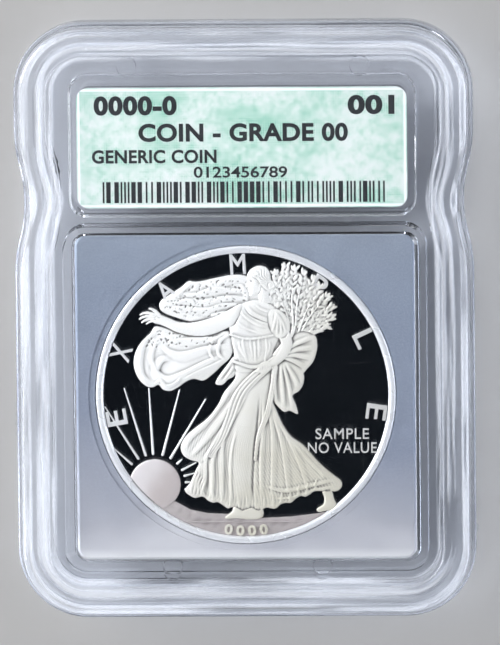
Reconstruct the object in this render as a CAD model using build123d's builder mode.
"""Graded coin slab: a sealed clear holder that shows a 40.6 mm bullion coin and its grade label.

Two clear shells close on each other at mid thickness. A satin insert plate holds the coin by its edge
between the two coin windows, and a printed card lies under the label window at the top end. The card
carries a foil seal on its back. A tongue round the rear shell enters a groove in the front shell, four
pins on the front shell enter sockets in the rear shell, and the shells are welded there.

Frame: +X to the right and +Y towards the label end, seen from the front. +Z comes out of the front face.
The origin is on the rear rest face, under the middle of the slab. All sizes are in millimetres.
"""

import os

from build123d import *

# The whole slab
SLAB_WIDTH = 61.8
SLAB_HEIGHT = 80.9
SLAB_THICKNESS = 8.4
CORNER_RADIUS = 9.5
WAIST_Y = 16.1  # the finger notch on each long side
WAIST_DEPTH = 1.3
WAIST_HALF_LENGTH = 9.8

# The coin and what holds it
COIN_RADIUS = 20.3
COIN_THICKNESS = 2.98
COIN_Y = -10.2
COIN_RIM_WIDTH = 0.85
COIN_RIM_SLOPE = 0.15
COIN_FIELD_DEPTH = 0.4
COIN_EDGE_CHAMFER = 0.12
COIN_FIT = 0.05  # between the coin's edge and its hole
INSERT_SIZE = (45.8, 44.2)
INSERT_CORNER = 1.6
INSERT_THICKNESS = 3.1
INSERT_Y = -10.45
INSERT_EDGE_CHAMFER = 0.3
INSERT_FIT = 0.2  # between the insert and its pocket
SEAT_RING_WIDTH = 0.9  # the shallow step round the coin hole
SEAT_RING_DEPTH = 0.12

# The label card and its seal
LABEL_SIZE = (44.5, 16.3)
LABEL_CORNER = 1.6
LABEL_THICKNESS = 0.3
LABEL_CENTRE = (-0.2, 23.4)
SEAL_RADIUS = 4.6
SEAL_THICKNESS = 0.05
SEAL_X = 14.0

# Shell sections
STEP_INSET = 0.55  # from the flange to the body of each shell
FLANGE_HEIGHT = 1.4
RIM_INSET = 4.4  # from the outline to the inside of the front rim
RIM_HEIGHT = 0.7
RIM_OUTER_FILLET = 0.9
RIM_INNER_FILLET = 0.4
PLINTH_INSET = 4.8  # the rear plinth drops inside another slab's front rim
PLINTH_HEIGHT = 0.6
PLINTH_FILLET = 0.25
WINDOW_THICKNESS = 1.2
COIN_WINDOW_SIZE = (49.0, 47.2)
COIN_WINDOW_CENTRE = (0, -10.75)
COIN_WINDOW_CORNER = 3.1
COIN_WINDOW_DEPTH = 0.7
LABEL_WINDOW_SIZE = (46.8, 19.4)
LABEL_WINDOW_CORNER = 2.5
LABEL_WINDOW_BEVEL = 0.25
LABEL_WINDOW_CENTRE = (-0.1, 23.85)
REAR_LABEL_WINDOW_DEPTH = 0.4
WALL = 2.6  # the outer wall, outside the relief channel
CHANNEL_END = 4.7  # the inset where the relief channel meets the pocket ribs
CHANNEL_SKIN = 1.1
SEAM_CHAMFER = 0.15

# Where the shells join
GROOVE_START = 0.8
GROOVE_WIDTH = 1.0
GROOVE_DEPTH = 0.8
JOINT_FIT = 0.05
SEAM_GAP = 0.03  # the air between the shells' meeting faces, inside the weld
PIN_RADIUS = 1.3
PIN_LENGTH = 1.75
TOP_PINS = (15.7, 34.3)
BOTTOM_PINS = (10.1, -34.2)
LABEL_REST_WALL = 1.2
LABEL_REST_INSET = 0.2
GATE_REACH = 0.35  # how far the gate stubs stand out of the outline
GATE_RADIUS = 0.5
GATE_HEIGHT = 0.7
LEFT_GATES_Y = (-11.7, -12.9, -14.2, -15.6)
RIGHT_GATE_Y = -28.7

# Heights worked out from those
PARTING_Z = SLAB_THICKNESS / 2
FRONT_SEAM_Z = PARTING_Z + SEAM_GAP / 2
REAR_SEAM_Z = PARTING_Z - SEAM_GAP / 2
PANEL_Z = SLAB_THICKNESS - RIM_HEIGHT
WINDOW_TOP_Z = PANEL_Z - COIN_WINDOW_DEPTH
POCKET_TOP_Z = WINDOW_TOP_Z - WINDOW_THICKNESS
POCKET_FLOOR_Z = SLAB_THICKNESS - POCKET_TOP_Z
REAR_WINDOW_Z = POCKET_FLOOR_Z - WINDOW_THICKNESS
LABEL_FLOOR_Z = REAR_LABEL_WINDOW_DEPTH + WINDOW_THICKNESS
LABEL_TOP_Z = POCKET_TOP_Z - 0.08
LABEL_BACK_Z = LABEL_TOP_Z - LABEL_THICKNESS
LABEL_REST_Z = LABEL_BACK_Z - SEAL_THICKNESS - 0.03
COIN_BOTTOM_Z = PARTING_Z - COIN_THICKNESS / 2
COIN_HOLE_RADIUS = COIN_RADIUS + COIN_FIT
HALF_WIDTH = SLAB_WIDTH / 2
HALF_HEIGHT = SLAB_HEIGHT / 2


def outline_half():
    """The right half of the slab's outline, from the bottom middle to the top middle: two round corners
    and, on the long side, a notch of three arcs that meet tangentially."""
    side_low = WAIST_Y - WAIST_HALF_LENGTH
    side_high = WAIST_Y + WAIST_HALF_LENGTH
    blend_x = HALF_WIDTH - WAIST_DEPTH / 2
    blend_low = WAIST_Y - WAIST_HALF_LENGTH / 2
    blend_high = WAIST_Y + WAIST_HALF_LENGTH / 2
    corner_x = HALF_WIDTH - CORNER_RADIUS
    corner_y = HALF_HEIGHT - CORNER_RADIUS
    with BuildLine() as half:
        Line((0, -HALF_HEIGHT), (corner_x, -HALF_HEIGHT))
        TangentArc((corner_x, -HALF_HEIGHT), (HALF_WIDTH, -corner_y), tangent=(1, 0))
        Line((HALF_WIDTH, -corner_y), (HALF_WIDTH, side_low))
        TangentArc((HALF_WIDTH, side_low), (blend_x, blend_low), tangent=(0, 1))
        ThreePointArc((blend_x, blend_low), (HALF_WIDTH - WAIST_DEPTH, WAIST_Y), (blend_x, blend_high))
        TangentArc((HALF_WIDTH, side_high), (blend_x, blend_high), tangent=(0, -1))
        Line((HALF_WIDTH, side_high), (HALF_WIDTH, corner_y))
        TangentArc((HALF_WIDTH, corner_y), (corner_x, HALF_HEIGHT), tangent=(0, 1))
        Line((corner_x, HALF_HEIGHT), (0, HALF_HEIGHT))
    return half.line


def outline(inset=0.0):
    """The slab's outline as a flat face, moved inwards by inset."""
    with BuildSketch() as face:
        with BuildLine():
            half = add(outline_half())
            mirror(half, about=Plane.YZ)
        make_face()
        if inset:
            offset(amount=-inset)
    return face.sketch


def outline_sketch(z, inset=0.0):
    """A sketch at height z that holds the outline."""
    with BuildSketch(Plane.XY.offset(z)) as sketch:
        add(outline(inset))
    return sketch.sketch


def ring_sketch(z, start, end):
    """A sketch at height z that holds the band between two insets of the outline."""
    with BuildSketch(Plane.XY.offset(z)) as sketch:
        add(outline(start))
        add(outline(end), mode=Mode.SUBTRACT)
    return sketch.sketch


def window_sketch(z, centre, size, corner):
    """A sketch at height z that holds a rectangle with round corners."""
    with BuildSketch(Plane.XY.offset(z)) as sketch:
        with Locations(centre):
            RectangleRounded(*size, corner)
    return sketch.sketch


def grown(size, amount):
    """A width and height, each larger by amount on both sides."""
    return (size[0] + 2 * amount, size[1] + 2 * amount)


def pin_locations():
    """Where the four pins stand: two above the label window and two below the coin window."""
    (top_x, top_y), (bottom_x, bottom_y) = TOP_PINS, BOTTOM_PINS
    return Locations((-top_x, top_y), (top_x, top_y), (-bottom_x, bottom_y), (bottom_x, bottom_y))


INSERT_CENTRE = (0, INSERT_Y)
POCKET_SIZE = grown(INSERT_SIZE, INSERT_FIT)
POCKET_CORNER = INSERT_CORNER + INSERT_FIT
LABEL_POCKET_SIZE = grown(LABEL_WINDOW_SIZE, -LABEL_WINDOW_BEVEL)
LABEL_POCKET_CORNER = LABEL_WINDOW_CORNER - LABEL_WINDOW_BEVEL

with BuildPart() as front_shell:
    body_z = FRONT_SEAM_Z + FLANGE_HEIGHT
    extrude(outline_sketch(FRONT_SEAM_Z), amount=FLANGE_HEIGHT)
    chamfer(front_shell.faces().sort_by(Axis.Z)[0].outer_wire().edges(), SEAM_CHAMFER)
    extrude(outline_sketch(body_z, STEP_INSET), amount=SLAB_THICKNESS - body_z)
    extrude(outline_sketch(PANEL_Z, RIM_INSET), amount=RIM_HEIGHT, mode=Mode.SUBTRACT)
    rim_top = front_shell.faces().sort_by(Axis.Z)[-1]
    fillet(rim_top.outer_wire().edges(), RIM_OUTER_FILLET)
    rim_top = front_shell.faces().sort_by(Axis.Z)[-1]
    fillet(rim_top.inner_wires()[0].edges(), RIM_INNER_FILLET)
    # The coin window has a wide bevel down to its floor, and the label window a narrow one.
    loft(
        [
            window_sketch(PANEL_Z, COIN_WINDOW_CENTRE, COIN_WINDOW_SIZE, COIN_WINDOW_CORNER),
            window_sketch(WINDOW_TOP_Z, INSERT_CENTRE, INSERT_SIZE, INSERT_CORNER),
        ],
        ruled=True,
        mode=Mode.SUBTRACT,
    )
    loft(
        [
            window_sketch(PANEL_Z, LABEL_WINDOW_CENTRE, LABEL_WINDOW_SIZE, LABEL_WINDOW_CORNER),
            window_sketch(WINDOW_TOP_Z, LABEL_WINDOW_CENTRE, LABEL_POCKET_SIZE, LABEL_POCKET_CORNER),
        ],
        ruled=True,
        mode=Mode.SUBTRACT,
    )
    # Inside: the two pockets, the relief channel behind the rim, and the groove for the tongue
    pocket_height = POCKET_TOP_Z - FRONT_SEAM_Z
    insert_pocket = window_sketch(FRONT_SEAM_Z, INSERT_CENTRE, POCKET_SIZE, POCKET_CORNER)
    label_pocket = window_sketch(FRONT_SEAM_Z, LABEL_WINDOW_CENTRE, LABEL_POCKET_SIZE, LABEL_POCKET_CORNER)
    extrude(insert_pocket, amount=pocket_height, mode=Mode.SUBTRACT)
    extrude(label_pocket, amount=pocket_height, mode=Mode.SUBTRACT)
    channel_height = PANEL_Z - CHANNEL_SKIN - FRONT_SEAM_Z
    extrude(ring_sketch(FRONT_SEAM_Z, WALL, CHANNEL_END), amount=channel_height, mode=Mode.SUBTRACT)
    groove = ring_sketch(FRONT_SEAM_Z, GROOVE_START, GROOVE_START + GROOVE_WIDTH)
    extrude(groove, amount=GROOVE_DEPTH, mode=Mode.SUBTRACT)
    with BuildSketch(Plane.XY.offset(PARTING_Z - PIN_LENGTH)):
        with pin_locations():
            Circle(PIN_RADIUS)
    extrude(amount=PIN_LENGTH + POCKET_TOP_Z - PARTING_Z)

with BuildPart() as rear_shell:
    body_z = REAR_SEAM_Z - FLANGE_HEIGHT
    extrude(outline_sketch(body_z), amount=FLANGE_HEIGHT)
    chamfer(rear_shell.faces().sort_by(Axis.Z)[-1].outer_wire().edges(), SEAM_CHAMFER)
    extrude(outline_sketch(PLINTH_HEIGHT, STEP_INSET), amount=body_z - PLINTH_HEIGHT)
    fillet(rear_shell.faces().sort_by(Axis.Z)[0].outer_wire().edges(), RIM_OUTER_FILLET)
    extrude(outline_sketch(0, PLINTH_INSET), amount=PLINTH_HEIGHT)
    fillet(rear_shell.faces().sort_by(Axis.Z)[0].outer_wire().edges(), PLINTH_FILLET)
    loft(
        [
            window_sketch(0, COIN_WINDOW_CENTRE, COIN_WINDOW_SIZE, COIN_WINDOW_CORNER),
            window_sketch(REAR_WINDOW_Z, INSERT_CENTRE, INSERT_SIZE, INSERT_CORNER),
        ],
        ruled=True,
        mode=Mode.SUBTRACT,
    )
    rear_label_window = window_sketch(0, LABEL_WINDOW_CENTRE, LABEL_POCKET_SIZE, LABEL_POCKET_CORNER)
    extrude(rear_label_window, amount=REAR_LABEL_WINDOW_DEPTH, mode=Mode.SUBTRACT)
    insert_pocket = window_sketch(POCKET_FLOOR_Z, INSERT_CENTRE, POCKET_SIZE, POCKET_CORNER)
    extrude(insert_pocket, amount=REAR_SEAM_Z - POCKET_FLOOR_Z, mode=Mode.SUBTRACT)
    label_pocket = window_sketch(LABEL_FLOOR_Z, LABEL_WINDOW_CENTRE, LABEL_POCKET_SIZE, LABEL_POCKET_CORNER)
    extrude(label_pocket, amount=REAR_SEAM_Z - LABEL_FLOOR_Z, mode=Mode.SUBTRACT)
    channel_floor = PLINTH_HEIGHT + CHANNEL_SKIN
    channel = ring_sketch(channel_floor, WALL, CHANNEL_END)
    extrude(channel, amount=REAR_SEAM_Z - channel_floor, mode=Mode.SUBTRACT)
    with BuildSketch(Plane.XY.offset(PARTING_Z - PIN_LENGTH - JOINT_FIT)):
        with pin_locations():
            Circle(PIN_RADIUS + JOINT_FIT)
    extrude(amount=PIN_LENGTH + JOINT_FIT, mode=Mode.SUBTRACT)
    # The tongue round the edge, and the frame that the label card rests on
    tongue = ring_sketch(REAR_SEAM_Z, GROOVE_START + JOINT_FIT, GROOVE_START + GROOVE_WIDTH - JOINT_FIT)
    extrude(tongue, amount=GROOVE_DEPTH - JOINT_FIT)
    with BuildSketch(Plane.XY.offset(LABEL_FLOOR_Z)):
        with Locations(LABEL_CENTRE):
            RectangleRounded(*grown(LABEL_SIZE, -LABEL_REST_INSET), LABEL_CORNER - LABEL_REST_INSET)
            Rectangle(*grown(LABEL_SIZE, -LABEL_REST_INSET - LABEL_REST_WALL), mode=Mode.SUBTRACT)
    extrude(amount=LABEL_REST_Z - LABEL_FLOOR_Z)
    # Gate stubs, left where the moulding was broken off its runner
    stub_x = HALF_WIDTH + GATE_REACH - GATE_RADIUS
    with BuildSketch(Plane.XY.offset(REAR_SEAM_Z - (FLANGE_HEIGHT + GATE_HEIGHT) / 2)):
        with Locations(*[(-stub_x, y) for y in LEFT_GATES_Y], (stub_x, RIGHT_GATE_Y)):
            Circle(GATE_RADIUS)
    extrude(amount=GATE_HEIGHT)

with BuildPart() as coin_insert:
    insert_bottom = PARTING_Z - INSERT_THICKNESS / 2
    extrude(window_sketch(insert_bottom, INSERT_CENTRE, INSERT_SIZE, INSERT_CORNER), amount=INSERT_THICKNESS)
    chamfer(coin_insert.faces().sort_by(Axis.Z)[-1].edges(), INSERT_EDGE_CHAMFER)
    chamfer(coin_insert.faces().sort_by(Axis.Z)[0].edges(), INSERT_EDGE_CHAMFER)
    with BuildSketch(Plane.XY.offset(insert_bottom)):
        with Locations((0, COIN_Y)):
            Circle(COIN_HOLE_RADIUS)
    extrude(amount=INSERT_THICKNESS, mode=Mode.SUBTRACT)
    for ring_z in (insert_bottom, insert_bottom + INSERT_THICKNESS - SEAT_RING_DEPTH):
        with BuildSketch(Plane.XY.offset(ring_z)):
            with Locations((0, COIN_Y)):
                Circle(COIN_HOLE_RADIUS + SEAT_RING_WIDTH)
        extrude(amount=SEAT_RING_DEPTH, mode=Mode.SUBTRACT)

with BuildPart() as coin:
    rim_inner = COIN_RADIUS - COIN_RIM_WIDTH
    field_radius = rim_inner - COIN_RIM_SLOPE
    chamfer_radius = COIN_RADIUS - COIN_EDGE_CHAMFER
    coin_top = PARTING_Z + COIN_THICKNESS / 2
    coin_middle = Plane.XZ.offset(-COIN_Y)
    with BuildSketch(coin_middle):
        with BuildLine():
            Polyline(
                (0, PARTING_Z),
                (0, coin_top - COIN_FIELD_DEPTH),
                (field_radius, coin_top - COIN_FIELD_DEPTH),
                (rim_inner, coin_top),
                (chamfer_radius, coin_top),
                (COIN_RADIUS, coin_top - COIN_EDGE_CHAMFER),
                (COIN_RADIUS, PARTING_Z),
                close=True,
            )
        make_face()
    revolve(axis=Axis((0, COIN_Y, 0), (0, 0, 1)))
    mirror(about=Plane.XY.offset(PARTING_Z))

with BuildPart() as label_card:
    card = window_sketch(LABEL_BACK_Z, LABEL_CENTRE, LABEL_SIZE, LABEL_CORNER)
    extrude(card, amount=LABEL_THICKNESS)

with BuildPart() as foil_seal:
    with BuildSketch(Plane.XY.offset(LABEL_BACK_Z - SEAL_THICKNESS)):
        with Locations((LABEL_CENTRE[0] + SEAL_X, LABEL_CENTRE[1])):
            Circle(SEAL_RADIUS)
    extrude(amount=SEAL_THICKNESS)

os.makedirs("parts", exist_ok=True)
pieces = {
    "front_shell": front_shell,
    "rear_shell": rear_shell,
    "coin_insert": coin_insert,
    "coin": coin,
    "label_card": label_card,
    "foil_seal": foil_seal,
}
for name, piece in pieces.items():
    piece.part.label = name
    export_step(piece.part, f"parts/{name}.step")
